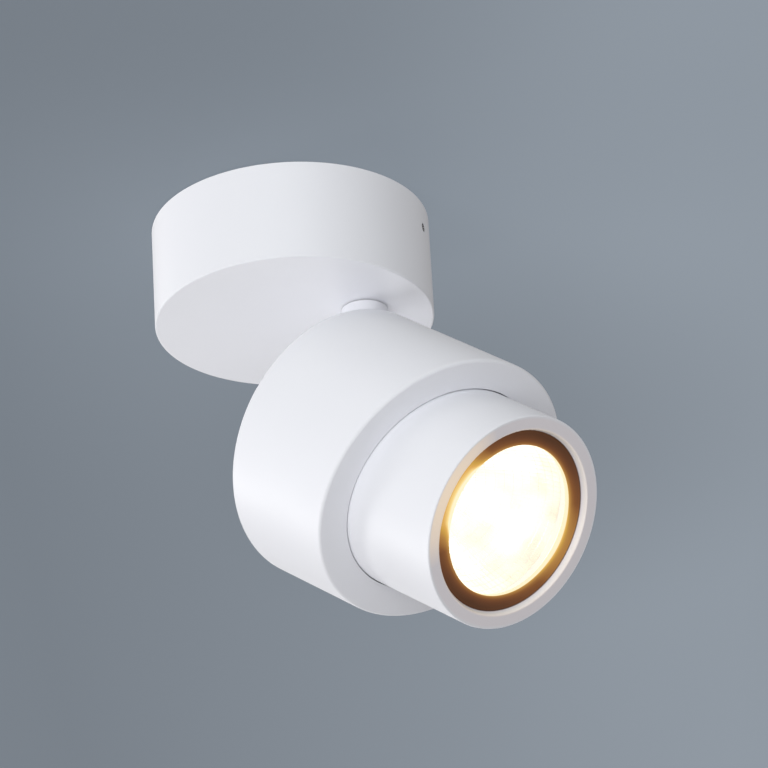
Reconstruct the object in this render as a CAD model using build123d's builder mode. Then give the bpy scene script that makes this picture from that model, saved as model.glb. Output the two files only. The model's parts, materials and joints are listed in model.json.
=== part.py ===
from build123d import *
import os
from math import asin, cos, degrees, radians, sin, sqrt, tan

# Surface mounted ceiling spotlight. Millimetres, +Z up.
# The origin is the centre of the ceiling face. The stem hangs off centre, towards -Y.
# The lamp head is modelled where it rests: panned a little from -Y and tilted down.
os.makedirs("parts", exist_ok=True)

# ---- Driving dimensions -------------------------------------------------------------
# Fits
slide_fit = 0.1             # radial room of a piece that runs in another
free_gap = 0.3              # room between pieces of different bodies
thread_fit = 0.05           # room round a screw in its thread
m3_radius = 1.5
m4_radius = 2.0
m5_radius = 2.5
clearance_hole = 0.2        # added to a screw's radius where it only passes through
head_ratio = 1.8            # a screw head to its thread
screw_head_height = 1.8
socket_ratio = 1.6          # flats of a screw's socket to its thread
socket_share = 0.6          # socket depth to head height
blind_floor = 0.5           # metal left under a blind hole or a screw's tip
thread_spare = 1.0          # screw length past its nut or seat
bend_share = 0.45           # of a lead's shorter run, taken up by its bend
overshoot = 5.0             # cutting length past the front face

# Canopy
canopy_radius = 50.0
canopy_height = 38.0
canopy_wall = 2.0
canopy_floor = 3.0
canopy_edge = 0.6
side_screw_drop = 10.0      # side screws below the ceiling
side_screw_length = 6.5
side_screw_recess = 0.1     # of the screw's end below the canopy's side
side_socket_depth = 1.5
boss_height = 6.0           # bosses that carry the driver
boss_radius = 3.5

# Ceiling bracket
strap_width = 20.0
strap_thickness = 2.0
strap_room = 1.0            # between its lugs and the canopy wall
lug_width = 12.0
lug_depth = 17.0
ceiling_slot_spacing = 60.0
ceiling_slot_length = 12.0
ceiling_slot_radius = 2.25
cable_hole_radius = 8.0
strap_corner = 5.0          # depth of the notch beside a lug
earth_screw_y = 16.0
earth_screw_head = 2.2

# Stem and swivel arm
stem_inset = 23.75          # stem axis inside the canopy's edge
neck_radius = 5.0
neck_above_floor = 14.0
collar_radius = 8.25
collar_height = 4.4
pan_washer_radius = 7.2
pan_washer_thickness = 0.5
stop_washer_radius = 9.0
stop_washer_thickness = 1.1
stop_tab_width = 4.0
stop_peg_radius = 1.5
stop_peg_distance = 12.2
stop_tab_reach = 14.0
stop_peg_stand = 2.0        # of the peg above its washer
spring_washer_radius = 8.0
spring_washer_thickness = 1.2
spring_washer_split = 0.8
nut_across_flats = 16.0
nut_height = 7.0
arm_thickness = 8.0
arm_width = 14.0
arm_edge = 1.0
window_height = 5.0         # where the lead leaves the arm, above its eye
window_wall = 2.0           # between the eye and the window
window_room = 2.0           # of the window beside the lead's bore
window_corner = 1.2
lead_radius = 1.5

# Lamp head
pivot_drop = 53.7           # tilt pivot below the canopy
pivot_depth = 14.0          # tilt pivot in front of the head's rear face
pivot_rise = 4.0            # tilt pivot above the head's axis
pan_rest = -22.0            # degrees from -Y
tilt_rest = 37.5            # degrees below the horizontal
head_radius = 49.6
head_wall = 2.5
front_cut = 11.4            # the front face leans: the head is longer at its top
front_wall = 3.0
head_edge = 1.0
arm_slot_room = 0.5         # beside the arm in its slot
swing_room = 0.8            # round the end of the arm as it tilts
cover_inset = 0.5
cover_thickness = 3.0
cover_screw_inset = 9.1     # screw circle inside the shell's bore
cover_screw_count = 4
cover_screw_first = 45.0    # angle of the first one
cover_screw_length = 10.0
cover_screw_tip = 2.0       # free depth of a post's hole past its screw
countersink = 1.5
cover_socket_depth = 1.4
cover_socket_flats = 2.0
post_radius = 3.5

# Heat sink and tilt bracket
sink_base = 4.0
sink_gap = 0.2              # behind it, to the arm's slot
sink_room = 0.5
sink_screw_inset = 3.5      # screw circle inside the shell's bore
sink_screw_count = 3
sink_screw_first = 30.0     # angle of the first one
sink_screw_grip = 6.0       # in the shell's boss
boss_wall = 1.0
fin_thickness = 1.6
fin_pitch = 5.0
fin_first = 19.5
fin_room = 1.5              # behind the cover
fin_inset = 2.5             # of the fins' ends inside the shell's bore
fin_last = 4.0              # least distance of a fin from that reach
fin_below_bracket = 3.0
middle_fin_pairs = 3
pedestal_radius = 18.0
pedestal_height = 3.0
ear_thickness = 2.0
tilt_washer_thickness = 0.5
tilt_washer_radius = 6.5
bracket_half_width = 16.0
bracket_below = 16.0        # bracket's foot below the pivot
bracket_above = 10.0
bracket_base = 2.0
bracket_screw_inset = 3.5
bolt_nut_height = 4.0
bolt_nut_flats = 8.0
bolt_head_height = 3.0

# Light source
pad_thickness = 0.3
pad_inset = 0.5             # inside the board's edge
board_size = 19.0
board_thickness = 1.5
emitter_radius = 7.0
emitter_thickness = 0.8
holder_radius = 16.0
holder_height = 4.0
holder_window = 8.0
holder_screw_inset = 2.8    # screw circle inside the holder's edge
head_lead_x = 14.0
head_lead_y = 21.0
head_lead_height = 2.0      # in front of the pedestal

# Zoom barrel
barrel_radius = 38.25
barrel_wall = 2.05
barrel_reach = 38.1         # from the middle of the front face to the barrel's lip
lip_edge = 0.5
flange_height = 2.3
flange_thickness = 2.0
zoom_in = 11.5
zoom_out = 0.5
sleeve_wall = 2.5
sleeve_length = 9.0
sleeve_room = 0.4
collar_length = 13.8        # guide collar, along the head's axis
glide_height = 2.4
glide_depth = 1.4
seam_gap = 0.35

# Optics in the barrel
lip_width = 4.9
mouth_taper = 0.95
ring_recess = 2.2
ring_thickness = 2.0
ring_width = 5.4
lens_thickness = 3.5
seal_thickness = 0.8
ledge_thickness = 2.5
ledge_width = 6.7
reflector_wall = 1.2
reflector_rear_radius = 11.0
reflector_bulge = 3.0
rim_thickness = 1.4
clip_thickness = 1.6
clip_width = 2.0
clip_gap = 4.0

# Driver
case_length = 62.0
case_width = 34.0
case_height = 20.5
case_wall = 1.5
case_inset = 24.0           # far side of the case inside the canopy's edge
ear_reach = 9.0
ear_plate = 1.5
ear_width = 10.0
cover_lip = 2.0
standoff = 2.0
standoff_radius = 2.0
standoff_inset = 3.0
circuit_thickness = 1.6
circuit_room = 2.0
transformer_length = 18.0
transformer_width = 16.0
transformer_height = 12.0
winding_share = 0.6
winding_inset = 1.5
capacitor_radius = 4.0
capacitor_height = 11.0
capacitor_gap = 1.0         # of each from the middle between them
capacitor_edge = 0.6
lead_drop = 4.0             # of the lead below the case's top
lead_run = 6.0
lead_slant = 3.0
lead_rise = 9.0
lead_crest = 1.0

# Terminal block
terminal_length = 28.0
terminal_width = 12.0
terminal_height = 13.0
terminal_gap = 3.0
terminal_ways = 3
terminal_pitch = 9.0
terminal_row = 3.0          # its screws either side of its middle
terminal_hole_radius = 1.7
terminal_edge = 0.8
terminal_screw_drop = 1.0   # below the block's top
screw_slot_depth = 0.7
screw_slot_width = 0.6
wire_radius = 0.8
wire_height_share = 0.4     # of the block's height
wire_grip = 3.0             # wire length inside the block

# ---- Places worked out from them ----------------------------------------------------
ceiling = Plane.XY
canopy_inner = canopy_radius - canopy_wall
stem_offset = canopy_radius - stem_inset
floor_top = canopy_floor - canopy_height
underside = -canopy_height
collar_top = underside - pan_washer_thickness - 2 * thread_fit
collar_bottom = collar_top - collar_height
neck_top = floor_top + neck_above_floor

up = Vector(0, 0, 1)
heading = Vector(0, -1, 0).rotate(Axis.Z, pan_rest)
beam = heading * cos(radians(tilt_rest)) - up * sin(radians(tilt_rest))
side = up.cross(heading)
crown = beam.cross(side)
stem_foot = Vector(0, -stem_offset, 0)
pivot = stem_foot + up * (underside - pivot_drop)
head_rear = pivot - beam * pivot_depth - crown * pivot_rise
stem = Plane(origin=stem_foot, x_dir=side, z_dir=up)
arm_side = Plane(origin=pivot, x_dir=heading, z_dir=-side)
# Head frame: X sideways, Y towards the head's top, Z along the beam, from the rear face
head = Plane(origin=head_rear, x_dir=side, z_dir=beam)
head_section = Plane(origin=head_rear, x_dir=crown, z_dir=side)
head_axis = Axis(head_rear, beam)
across = Plane(origin=pivot, x_dir=crown, z_dir=side)

head_inner = head_radius - head_wall
slot_half = arm_thickness / 2 + arm_slot_room
slot_front = pivot_depth + arm_width / 2 + swing_room
slot_bottom = pivot_rise - arm_width / 2 - swing_room
cover_front = cover_inset + cover_thickness
sink_rear = slot_front + sink_gap
sink_front = sink_rear + sink_base
flange_radius = barrel_radius + flange_height
flange_rear = sink_front + zoom_in + free_gap
flange_front = flange_rear + flange_thickness
glide_seat = flange_front + zoom_out + free_gap
front_depth = glide_seat + collar_length
front_lean = tan(radians(front_cut))
lip = front_depth + barrel_reach
cover_screw_circle = head_inner - cover_screw_inset
sink_screw_circle = head_inner - sink_screw_inset
holder_screw_circle = holder_radius - holder_screw_inset
sleeve_bore = flange_radius + sleeve_room
sleeve_radius = sleeve_bore + sleeve_wall
sleeve_rear = glide_seat - sleeve_length
opening_radius = barrel_radius + seam_gap
glide_radius = opening_radius + glide_depth

lip_inner_radius = barrel_radius - lip_width
mouth_radius = lip_inner_radius - mouth_taper
ring_inner_radius = mouth_radius - ring_width
ring_front = lip - ring_recess
lens_front = ring_front - ring_thickness
lens_rear = lens_front - lens_thickness
ledge_front = lens_rear - seal_thickness
ledge_rear = ledge_front - ledge_thickness
barrel_bore = barrel_radius - barrel_wall
ledge_radius = barrel_bore - ledge_width

pad_seat = sink_front + pedestal_height
board_seat = pad_seat + pad_thickness
emitter_seat = board_seat + board_thickness
holder_front = pad_seat + holder_height
reflector_rear = holder_front + screw_head_height + zoom_in + 2 * free_gap
rim_rear = ledge_rear - rim_thickness

case_back = canopy_radius - case_inset
case_front = case_back - case_width
case_top = floor_top + case_height
terminal_y = case_back + terminal_gap + terminal_width / 2


# ---- Small helpers ------------------------------------------------------------------
def disc(plane, start, end, outer, inner=0.0, mode=Mode.ADD):
    """A disc or ring across the plane's normal, from start to end along it."""
    with BuildSketch(plane.offset(start)) as ring:
        Circle(outer)
        if inner:
            Circle(inner, mode=Mode.SUBTRACT)
    extrude(ring.sketch, amount=end - start, mode=mode)


def rods(plane, places, start, end, radius, mode=Mode.ADD):
    """Round rods at places on the plane, from start to end along its normal."""
    with BuildSketch(plane.offset(start)) as ends:
        with Locations(*places):
            Circle(radius)
    extrude(ends.sketch, amount=end - start, mode=mode)


def block(plane, centre, size, start, end, mode=Mode.ADD):
    """A rectangular block on the plane, from start to end along its normal."""
    with BuildSketch(plane.offset(start)) as face:
        with Locations(centre):
            Rectangle(*size)
    extrude(face.sketch, amount=end - start, mode=mode)


def hexagons(plane, places, start, end, across_flats, mode=Mode.ADD):
    """Hexagonal prisms at places on the plane."""
    with BuildSketch(plane.offset(start)) as ends:
        with Locations(*places):
            RegularPolygon(across_flats / 2, 6, major_radius=False)
    extrude(ends.sketch, amount=end - start, mode=mode)


def screws(plane, places, seat, length, radius, head_height=screw_head_height):
    """Socket screws that enter along the plane's normal, heads on the near side."""
    head_top = seat - head_height
    rods(plane, places, seat, seat + length, radius)
    rods(plane, places, head_top, seat, radius * head_ratio)
    hexagons(plane, places, head_top, head_top + head_height * socket_share, radius * socket_ratio,
             Mode.SUBTRACT)


def on_circle(radius, count, first):
    """Points on a circle, the first at an angle in degrees."""
    angles = [radians(first + 360 / count * i) for i in range(count)]
    return [(radius * cos(a), radius * sin(a)) for a in angles]


def lead(points, radius, bends):
    """A round lead along straight runs joined by arcs."""
    with BuildLine() as route:
        FilletPolyline(*points, radius=bends)
    with BuildSketch(Plane(origin=route.line @ 0, z_dir=route.line % 0)) as section:
        Circle(radius)
    sweep(section.sketch, path=route.line)


def bend_radius(points):
    """The largest arc that fits the bends of a short lead."""
    radii = []
    for a, b, c in zip(points, points[1:], points[2:]):
        before, after = Vector(b) - Vector(a), Vector(c) - Vector(b)
        half_turn = radians(before.get_angle(after) / 2)
        radii.append(bend_share * min(before.length, after.length) / tan(half_turn))
    return min(radii)


# ---- Canopy -------------------------------------------------------------------------
driver_bosses = [(x * (case_length / 2 + ear_reach / 2), case_back - case_width / 2) for x in (-1, 1)]
side_screw_hole = m3_radius + clearance_hole

with BuildPart() as canopy_cup:
    disc(ceiling, underside, 0, canopy_radius)
    fillet(canopy_cup.edges().group_by(Axis.Z)[0], radius=canopy_edge)
    disc(ceiling, floor_top, 0, canopy_inner, mode=Mode.SUBTRACT)
    rods(ceiling, driver_bosses, floor_top, floor_top + boss_height, boss_radius)
    stop_peg_place = (0, -stem_offset + stop_peg_distance)
    peg_top = floor_top + stop_washer_thickness + stop_peg_stand
    rods(ceiling, [stop_peg_place], floor_top, peg_top, stop_peg_radius)
    rods(ceiling, [(0, -stem_offset)], underside, floor_top, neck_radius + slide_fit, Mode.SUBTRACT)
    rods(ceiling, driver_bosses, floor_top + blind_floor, floor_top + boss_height,
         m3_radius + thread_fit, Mode.SUBTRACT)
    rods(Plane.XZ.offset(-canopy_radius), [(0, -side_screw_drop)], 0, 2 * canopy_radius,
         side_screw_hole, Mode.SUBTRACT)
canopy_cup.part.label = "canopy_cup"
export_step(canopy_cup.part, "parts/canopy_cup.step")

# ---- Ceiling bracket: a steel strap with two turned-down lugs --------------------------
lug_face = canopy_inner - strap_room
slot_centres = [(0, y * ceiling_slot_spacing / 2) for y in (-1, 1)]

with BuildPart() as ceiling_bracket:
    block(ceiling, (0, 0), (strap_width, 2 * lug_face), -strap_thickness, 0)
    for lug in (-1, 1):
        lug_y = lug * (lug_face - strap_thickness / 2)
        block(ceiling, (0, lug_y), (lug_width, strap_thickness), -lug_depth, 0)
    corner_width = (strap_width - lug_width) / 2
    for corner_x in (-1, 1):
        for corner_y in (-1, 1):
            corner = (corner_x * (strap_width - corner_width) / 2, corner_y * (lug_face - strap_corner / 2))
            block(ceiling, corner, (corner_width, strap_corner), -strap_thickness, 0, Mode.SUBTRACT)
    with BuildSketch(ceiling.offset(-strap_thickness)):
        with Locations(*slot_centres):
            SlotOverall(ceiling_slot_length, 2 * ceiling_slot_radius, rotation=90)
        Circle(cable_hole_radius)
        with Locations((0, earth_screw_y)):
            Circle(m4_radius + thread_fit)
    extrude(amount=strap_thickness, mode=Mode.SUBTRACT)
    rods(Plane.XZ.offset(-canopy_radius), [(0, -side_screw_drop)], 0, 2 * canopy_radius,
         m3_radius + thread_fit, Mode.SUBTRACT)
ceiling_bracket.part.label = "ceiling_bracket"
export_step(ceiling_bracket.part, "parts/ceiling_bracket.step")

screw_face = canopy_radius - side_screw_recess
with BuildPart() as side_screws:
    for facing in (Plane.XZ, Plane.XZ.rotated((0, 0, 180))):
        place = [(0, -side_screw_drop)]
        rods(facing, place, screw_face - side_screw_length, screw_face, m3_radius)
        hexagons(facing, place, screw_face - side_socket_depth, screw_face, m3_radius, Mode.SUBTRACT)
side_screws.part.label = "side_screws"
export_step(side_screws.part, "parts/side_screws.step")

with BuildPart() as earth_screw:
    screws(ceiling, [(0, earth_screw_y)], -strap_thickness, strap_thickness - free_gap, m4_radius,
           earth_screw_head)
earth_screw.part.label = "earth_screw"
export_step(earth_screw.part, "parts/earth_screw.step")

# ---- Driver on the canopy floor --------------------------------------------------------
case_centre = (0, case_back - case_width / 2)
inner_length = case_length - 2 * case_wall
inner_width = case_width - 2 * case_wall
standoff_top = floor_top + case_wall + standoff
circuit_length = inner_length - circuit_room
circuit_width = inner_width - circuit_room
circuit_top = standoff_top + circuit_thickness
standoff_x = circuit_length / 2 - standoff_inset
standoff_y = circuit_width / 2 - standoff_inset
standoffs = [(case_centre[0] + x * standoff_x, case_centre[1] + y * standoff_y)
             for x in (-1, 1) for y in (-1, 1)]
lead_height = floor_top + case_height - lead_drop

with BuildPart() as driver_case:
    block(ceiling, case_centre, (case_length, case_width), floor_top, case_top)
    block(ceiling, case_centre, (inner_length, inner_width), floor_top + case_wall, case_top, Mode.SUBTRACT)
    ear_base = floor_top + boss_height
    for ear in (-1, 1):
        ear_centre = (ear * (case_length + ear_reach) / 2, case_centre[1])
        block(ceiling, ear_centre, (ear_reach, ear_width), ear_base, ear_base + ear_plate)
    rods(ceiling, standoffs, floor_top + case_wall, standoff_top, standoff_radius)
    rods(ceiling, driver_bosses, ear_base, ear_base + ear_plate, m3_radius + clearance_hole, Mode.SUBTRACT)
driver_case.part.label = "driver_case"
export_step(driver_case.part, "parts/driver_case.step")

with BuildPart() as driver_cover:
    block(ceiling, case_centre, (case_length, case_width), case_top, case_top + case_wall)
    plug_length = inner_length - 2 * slide_fit
    plug_width = inner_width - 2 * slide_fit
    block(ceiling, case_centre, (plug_length, plug_width), case_top - cover_lip, case_top)
    block(ceiling, case_centre, (plug_length - 2 * case_wall, plug_width - 2 * case_wall),
          case_top - cover_lip, case_top, Mode.SUBTRACT)
driver_cover.part.label = "driver_cover"
export_step(driver_cover.part, "parts/driver_cover.step")

with BuildPart() as driver_board:
    block(ceiling, case_centre, (circuit_length, circuit_width), standoff_top, circuit_top)
driver_board.part.label = "driver_board"
export_step(driver_board.part, "parts/driver_board.step")

with BuildPart() as driver_transformer:
    centre = (case_centre[0] - circuit_length / 4, case_centre[1])
    core = (transformer_length, transformer_width * winding_share)
    winding = (transformer_length * winding_share, transformer_width)
    transformer_top = circuit_top + transformer_height
    block(ceiling, centre, core, circuit_top, transformer_top)
    block(ceiling, centre, winding, circuit_top + winding_inset, transformer_top - winding_inset)
driver_transformer.part.label = "driver_transformer"
export_step(driver_transformer.part, "parts/driver_transformer.step")

with BuildPart() as driver_capacitors:
    places = [(case_centre[0] + circuit_length / 4, case_centre[1] + y * (capacitor_radius + capacitor_gap))
              for y in (-1, 1)]
    rods(ceiling, places, circuit_top, circuit_top + capacitor_height, capacitor_radius)
    fillet(driver_capacitors.edges().group_by(Axis.Z)[-1], radius=capacitor_edge)
driver_capacitors.part.label = "driver_capacitors"
export_step(driver_capacitors.part, "parts/driver_capacitors.step")

with BuildPart() as driver_screws:
    ear_top = floor_top + boss_height + ear_plate
    downwards = Plane(origin=(0, 0, ear_top), x_dir=(1, 0, 0), z_dir=(0, 0, -1))
    mirrored = [(x, -y) for x, y in driver_bosses]
    screws(downwards, mirrored, 0, boss_height, m3_radius)
driver_screws.part.label = "driver_screws"
export_step(driver_screws.part, "parts/driver_screws.step")

# ---- Terminal block -------------------------------------------------------------------
ways = [(i - (terminal_ways - 1) / 2) * terminal_pitch for i in range(terminal_ways)]
terminal_top = floor_top + terminal_height
wire_height = floor_top + terminal_height * wire_height_share

with BuildPart() as terminal_block:
    block(ceiling, (0, terminal_y), (terminal_length, terminal_width), floor_top, terminal_top)
    chamfer(terminal_block.edges().group_by(Axis.Z)[-1], length=terminal_edge)
    rods(Plane.XZ.offset(-terminal_y - terminal_width / 2), [(x, wire_height) for x in ways],
         0, terminal_width, terminal_hole_radius, Mode.SUBTRACT)
    rods(ceiling, [(x, terminal_y + y * terminal_row) for x in ways for y in (-1, 1)], wire_height,
         terminal_top, m3_radius + thread_fit, Mode.SUBTRACT)
terminal_block.part.label = "terminal_block"
export_step(terminal_block.part, "parts/terminal_block.step")

with BuildPart() as terminal_screws:
    places = [(x, terminal_y + y * terminal_row) for x in ways for y in (-1, 1)]
    screw_top = terminal_top - terminal_screw_drop
    rods(ceiling, places, wire_height + terminal_hole_radius, screw_top, m3_radius)
    with BuildSketch(ceiling.offset(screw_top - screw_slot_depth)):
        with Locations(*places):
            Rectangle(3 * m3_radius, screw_slot_width)
    extrude(amount=screw_slot_depth, mode=Mode.SUBTRACT)
terminal_screws.part.label = "terminal_screws"
export_step(terminal_screws.part, "parts/terminal_screws.step")

with BuildPart() as driver_input_wires:
    wires = [(x, wire_height) for x in (ways[0], ways[-1])]
    wire_length = terminal_gap + wire_grip
    rods(Plane.XZ.offset(-case_back - wire_length), wires, 0, wire_length, wire_radius)
driver_input_wires.part.label = "driver_input_wires"
export_step(driver_input_wires.part, "parts/driver_input_wires.step")

canopy_lead_points = [
    (0, case_front, lead_height),
    (0, case_front - lead_run, lead_height),
    (0, case_front - lead_run - lead_slant, lead_height + lead_rise - lead_crest),
    (0, -stem_offset, lead_height + lead_rise),
    (0, -stem_offset, neck_top + free_gap),
]
with BuildPart() as lead_in_canopy:
    lead(canopy_lead_points, lead_radius, bend_radius(canopy_lead_points))
lead_in_canopy.part.label = "lead_in_canopy"
export_step(lead_in_canopy.part, "parts/lead_in_canopy.step")

# ---- Swivel: collar, threaded neck and arm in one piece --------------------------------
arm_top = collar_bottom - (underside - pivot_drop)
window_centre = arm_width / 2 + window_wall + window_height / 2
lead_bore = lead_radius + free_gap

with BuildPart() as swivel_arm:
    with BuildSketch(arm_side):
        Circle(arm_width / 2)
        with Locations((0, arm_top / 2)):
            Rectangle(arm_width, arm_top)
    extrude(amount=arm_thickness / 2, both=True)
    fillet(swivel_arm.edges().filter_by(Axis.Z), radius=arm_edge)
    disc(stem, collar_bottom, collar_top, collar_radius)
    disc(stem, collar_top, neck_top, neck_radius)
    rods(stem, [(0, 0)], underside - pivot_drop + window_centre, neck_top, lead_bore, Mode.SUBTRACT)
    with BuildSketch(arm_side):
        Circle(m5_radius + slide_fit / 2)
        with Locations((0, window_centre)):
            RectangleRounded(2 * lead_bore + window_room, window_height, window_corner)
    extrude(amount=arm_thickness, both=True, mode=Mode.SUBTRACT)
swivel_arm.part.label = "swivel_arm"
export_step(swivel_arm.part, "parts/swivel_arm.step")

with BuildPart() as pan_washer:
    washer_bottom = collar_top + thread_fit
    disc(stem, washer_bottom, washer_bottom + pan_washer_thickness, pan_washer_radius,
         neck_radius + thread_fit)
pan_washer.part.label = "pan_washer"
export_step(pan_washer.part, "parts/pan_washer.step")

stop_bottom = floor_top + thread_fit
stop_top = stop_bottom + stop_washer_thickness
with BuildPart() as stop_washer:
    disc(stem, stop_bottom, stop_top, stop_washer_radius)
    block(stem, (0, -stop_tab_reach / 2), (stop_tab_width, stop_tab_reach), stop_bottom, stop_top)
    rods(stem, [(0, 0)], stop_bottom, stop_top, neck_radius + thread_fit, Mode.SUBTRACT)
stop_washer.part.label = "stop_washer"
export_step(stop_washer.part, "parts/stop_washer.step")

spring_top = stop_top + spring_washer_thickness
with BuildPart() as spring_washer:
    disc(stem, stop_top, spring_top, spring_washer_radius, neck_radius + thread_fit)
    block(stem, (spring_washer_radius, 0), (2 * spring_washer_radius, spring_washer_split),
          stop_top, spring_top, Mode.SUBTRACT)
spring_washer.part.label = "spring_washer"
export_step(spring_washer.part, "parts/spring_washer.step")

with BuildPart() as stem_nut:
    hexagons(stem, [(0, 0)], spring_top, spring_top + nut_height, nut_across_flats)
    rods(stem, [(0, 0)], spring_top, spring_top + nut_height, neck_radius + thread_fit, Mode.SUBTRACT)
stem_nut.part.label = "stem_nut"
export_step(stem_nut.part, "parts/stem_nut.step")

with BuildPart() as lead_in_arm:
    disc(stem, underside - pivot_drop + window_centre, neck_top, lead_radius)
lead_in_arm.part.label = "lead_in_arm"
export_step(lead_in_arm.part, "parts/lead_in_arm.step")

# ---- Head shell -------------------------------------------------------------------------
front_point = head_rear + beam * front_depth
front_plane = Plane(origin=front_point, x_dir=side, z_dir=beam - crown * front_lean)
inner_front = front_plane.offset(-front_wall)
head_length = front_depth + front_lean * head_radius + overshoot
sink_screw_places = on_circle(sink_screw_circle, sink_screw_count, sink_screw_first)
sink_boss_radius = m3_radius + boss_wall

with BuildPart() as shell_cavity:
    disc(head, 0, head_length, head_inner)
    disc(head, sleeve_rear, head_length, sleeve_radius, mode=Mode.SUBTRACT)
    rods(head, sink_screw_places, sink_front, head_length, sink_boss_radius, Mode.SUBTRACT)
    split(bisect_by=inner_front, keep=Keep.BOTTOM)

with BuildPart() as head_shell:
    disc(head, 0, head_length, head_radius)
    split(bisect_by=front_plane, keep=Keep.BOTTOM)
    rims = head_shell.edges().filter_by(GeomType.LINE, reverse=True)
    fillet(rims, radius=head_edge)
    add(shell_cavity.part, mode=Mode.SUBTRACT)
    disc(head, 0, glide_seat, sleeve_bore, mode=Mode.SUBTRACT)
    disc(head, glide_seat, glide_seat + glide_height, glide_radius, mode=Mode.SUBTRACT)
    disc(head, glide_seat, head_length, opening_radius, mode=Mode.SUBTRACT)
    rods(head, sink_screw_places, sink_front, sink_front + sink_screw_grip + cover_screw_tip,
         m3_radius + thread_fit, Mode.SUBTRACT)
    block(head, (0, head_radius / 2), (2 * slot_half, head_radius), 0, slot_front, Mode.SUBTRACT)
head_shell.part.label = "head_shell"
export_step(head_shell.part, "parts/head_shell.step")

# ---- Rear cover -------------------------------------------------------------------------
cover_screw_places = on_circle(cover_screw_circle, cover_screw_count, cover_screw_first)
cover_radius = head_inner - slide_fit

with BuildPart() as rear_cover:
    disc(head, cover_inset, cover_front, cover_radius)
    block(head, (0, (slot_bottom + head_radius) / 2), (2 * slot_half, head_radius - slot_bottom),
          cover_inset, cover_front, Mode.SUBTRACT)
    rods(head, cover_screw_places, cover_inset, cover_front, m3_radius + clearance_hole, Mode.SUBTRACT)
    for place in cover_screw_places:
        with Locations(head.offset(cover_inset + countersink / 2).location * Location(place)):
            Cone(m3_radius + clearance_hole + countersink, m3_radius + clearance_hole, countersink,
                 mode=Mode.SUBTRACT)
rear_cover.part.label = "rear_cover"
export_step(rear_cover.part, "parts/rear_cover.step")

with BuildPart() as rear_cover_screws:
    rods(head, cover_screw_places, cover_inset, cover_inset + cover_screw_length, m3_radius)
    for place in cover_screw_places:
        with Locations(head.offset(cover_inset + countersink / 2).location * Location(place)):
            Cone(m3_radius + countersink, m3_radius, countersink)
    hexagons(head, cover_screw_places, cover_inset, cover_inset + cover_socket_depth, cover_socket_flats,
             Mode.SUBTRACT)
rear_cover_screws.part.label = "rear_cover_screws"
export_step(rear_cover_screws.part, "parts/rear_cover_screws.step")

# ---- Heat sink ----------------------------------------------------------------------------
fin_reach = head_inner - fin_inset
fin_rear = cover_front + fin_room
bracket_bottom = pivot_rise - bracket_below
bracket_top = pivot_rise + bracket_above
bracket_screw_places = [(x * (bracket_half_width - bracket_screw_inset), y) for x in (-1, 1)
                        for y in (bracket_bottom + bracket_screw_inset, bracket_top - bracket_screw_inset)]
lead_place = (head_lead_x, head_lead_y)
side_fins = []
fin_x = fin_first
while fin_x < fin_reach - fin_last:
    side_fins.append(fin_x)
    fin_x += fin_pitch

with BuildPart() as heat_sink:
    disc(head, sink_rear, sink_front, head_inner - sink_room)
    for x in side_fins:
        fin_length = 2 * sqrt(fin_reach ** 2 - x ** 2)
        block(head, (x, 0), (fin_thickness, fin_length), fin_rear, sink_rear)
        block(head, (-x, 0), (fin_thickness, fin_length), fin_rear, sink_rear)
    lower_top = bracket_bottom - fin_below_bracket
    middle_fins = [i * fin_pitch for i in range(-middle_fin_pairs, middle_fin_pairs + 1)]
    for x in middle_fins:
        lower_end = -sqrt(fin_reach ** 2 - x ** 2)
        block(head, (x, (lower_top + lower_end) / 2), (fin_thickness, lower_top - lower_end),
              fin_rear, sink_rear)
    rods(head, cover_screw_places, cover_front, sink_rear, post_radius)
    disc(head, sink_front, pad_seat, pedestal_radius)
    post_hole_end = cover_inset + cover_screw_length + cover_screw_tip
    rods(head, cover_screw_places, cover_front, post_hole_end, m3_radius + thread_fit, Mode.SUBTRACT)
    rods(head, sink_screw_places, sink_rear, sink_front, m3_radius + clearance_hole, Mode.SUBTRACT)
    rods(head, sink_screw_places, fin_rear, sink_rear, m3_radius * head_ratio + free_gap, Mode.SUBTRACT)
    rods(head, bracket_screw_places, sink_rear, sink_front, m3_radius + thread_fit, Mode.SUBTRACT)
    rods(head, on_circle(holder_screw_circle, 2, 0), sink_rear, pad_seat,
         m3_radius + thread_fit, Mode.SUBTRACT)
    rods(head, [lead_place], sink_rear, sink_front, lead_radius + slide_fit, Mode.SUBTRACT)
heat_sink.part.label = "heat_sink"
export_step(heat_sink.part, "parts/heat_sink.step")

with BuildPart() as heat_sink_screws:
    screws(head, sink_screw_places, sink_rear, sink_base + sink_screw_grip, m3_radius)
heat_sink_screws.part.label = "heat_sink_screws"
export_step(heat_sink_screws.part, "parts/heat_sink_screws.step")

# ---- Tilt bracket and its bolt ----------------------------------------------------------
ear_inner = arm_thickness / 2 + tilt_washer_thickness + 2 * slide_fit
ear_outer = ear_inner + ear_thickness
base_rear = sink_rear - bracket_base
ear_length = sink_rear - pivot_depth

with BuildPart() as tilt_bracket:
    block(head, (0, (bracket_bottom + bracket_top) / 2),
          (2 * bracket_half_width, bracket_top - bracket_bottom), base_rear, sink_rear)
    block(head, (0, (slot_bottom + bracket_top) / 2), (2 * ear_inner, bracket_top - slot_bottom),
          base_rear, sink_rear, Mode.SUBTRACT)
    for ear in (-1, 1):
        ear_start = ear_inner if ear > 0 else -ear_outer
        with BuildSketch(across.offset(ear_start)):
            Circle(arm_width / 2)
            with Locations((0, ear_length / 2)):
                Rectangle(arm_width, ear_length)
            Circle(m5_radius + thread_fit, mode=Mode.SUBTRACT)
        extrude(amount=ear_thickness)
    rods(head, bracket_screw_places, base_rear, sink_rear, m3_radius + clearance_hole, Mode.SUBTRACT)
tilt_bracket.part.label = "tilt_bracket"
export_step(tilt_bracket.part, "parts/tilt_bracket.step")

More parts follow.
